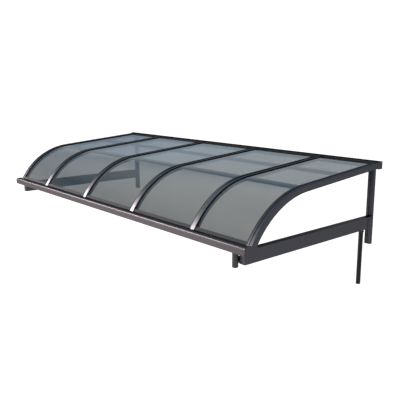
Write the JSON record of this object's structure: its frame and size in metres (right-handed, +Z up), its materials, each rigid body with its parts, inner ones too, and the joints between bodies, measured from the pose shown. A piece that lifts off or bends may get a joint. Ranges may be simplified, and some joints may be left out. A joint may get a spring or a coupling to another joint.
{
  "type": "glass canopy",
  "caption": "Wall-mounted canopy with smoke-tinted panels that curve down to a front gutter, on side arms, with wall posts and a drain pipe.",
  "frame": {"origin": "centre of the wall header's flat back face, which lies on the wall", "axes": "+X right along the wall as seen from in front, +Y into the wall, +Z up; the canopy reaches out along -Y"},
  "size_m": [2.754, 1.2, 0.8195],
  "materials": {
    "frame_metal": "satin dark bronze anodised",
    "cap_metal": "satin dark bronze anodised",
    "smoke_glass": "smoke grey tint, polished",
    "end_cap_plastic": "moulded, matt",
    "pipe_plastic": "extruded, satin"
  },
  "bodies": {
    "root": {"arm_bracket_left": "frame_metal", "arm_bracket_right": "frame_metal", "arm_end_cap_left": "end_cap_plastic", "arm_end_cap_right": "end_cap_plastic", "downpipe": "pipe_plastic", "drain_clip_front": "pipe_plastic", "drain_clip_rear": "pipe_plastic", "drain_run": "pipe_plastic", "front_elbow": "pipe_plastic", "front_gutter": "frame_metal", "gutter_end_cap_left": "end_cap_plastic", "gutter_end_cap_right": "end_cap_plastic", "gutter_outlet": "pipe_plastic", "header_end_cap_left": "end_cap_plastic", "header_end_cap_right": "end_cap_plastic", "header_filler": "frame_metal", "panel_foot_rail": "frame_metal", "post_end_cap_left": "end_cap_plastic", "post_end_cap_right": "end_cap_plastic", "purlin_lower": "frame_metal", "purlin_upper": "frame_metal", "rafter_1": "frame_metal", "rafter_2": "frame_metal", "rafter_3": "frame_metal", "rafter_4": "frame_metal", "rafter_5": "frame_metal", "rafter_6": "frame_metal", "rafter_cap_1": "cap_metal", "rafter_cap_2": "cap_metal", "rafter_cap_3": "cap_metal", "rafter_cap_4": "cap_metal", "rafter_cap_5": "cap_metal", "rafter_cap_6": "cap_metal", "rear_elbow": "pipe_plastic", "roof_panel_1": "smoke_glass", "roof_panel_2": "smoke_glass", "roof_panel_3": "smoke_glass", "roof_panel_4": "smoke_glass", "roof_panel_5": "smoke_glass", "side_arm_left": "frame_metal", "side_arm_right": "frame_metal", "wall_header": "frame_metal", "wall_post_left": "frame_metal", "wall_post_right": "frame_metal"}
  },
  "joints": []
}
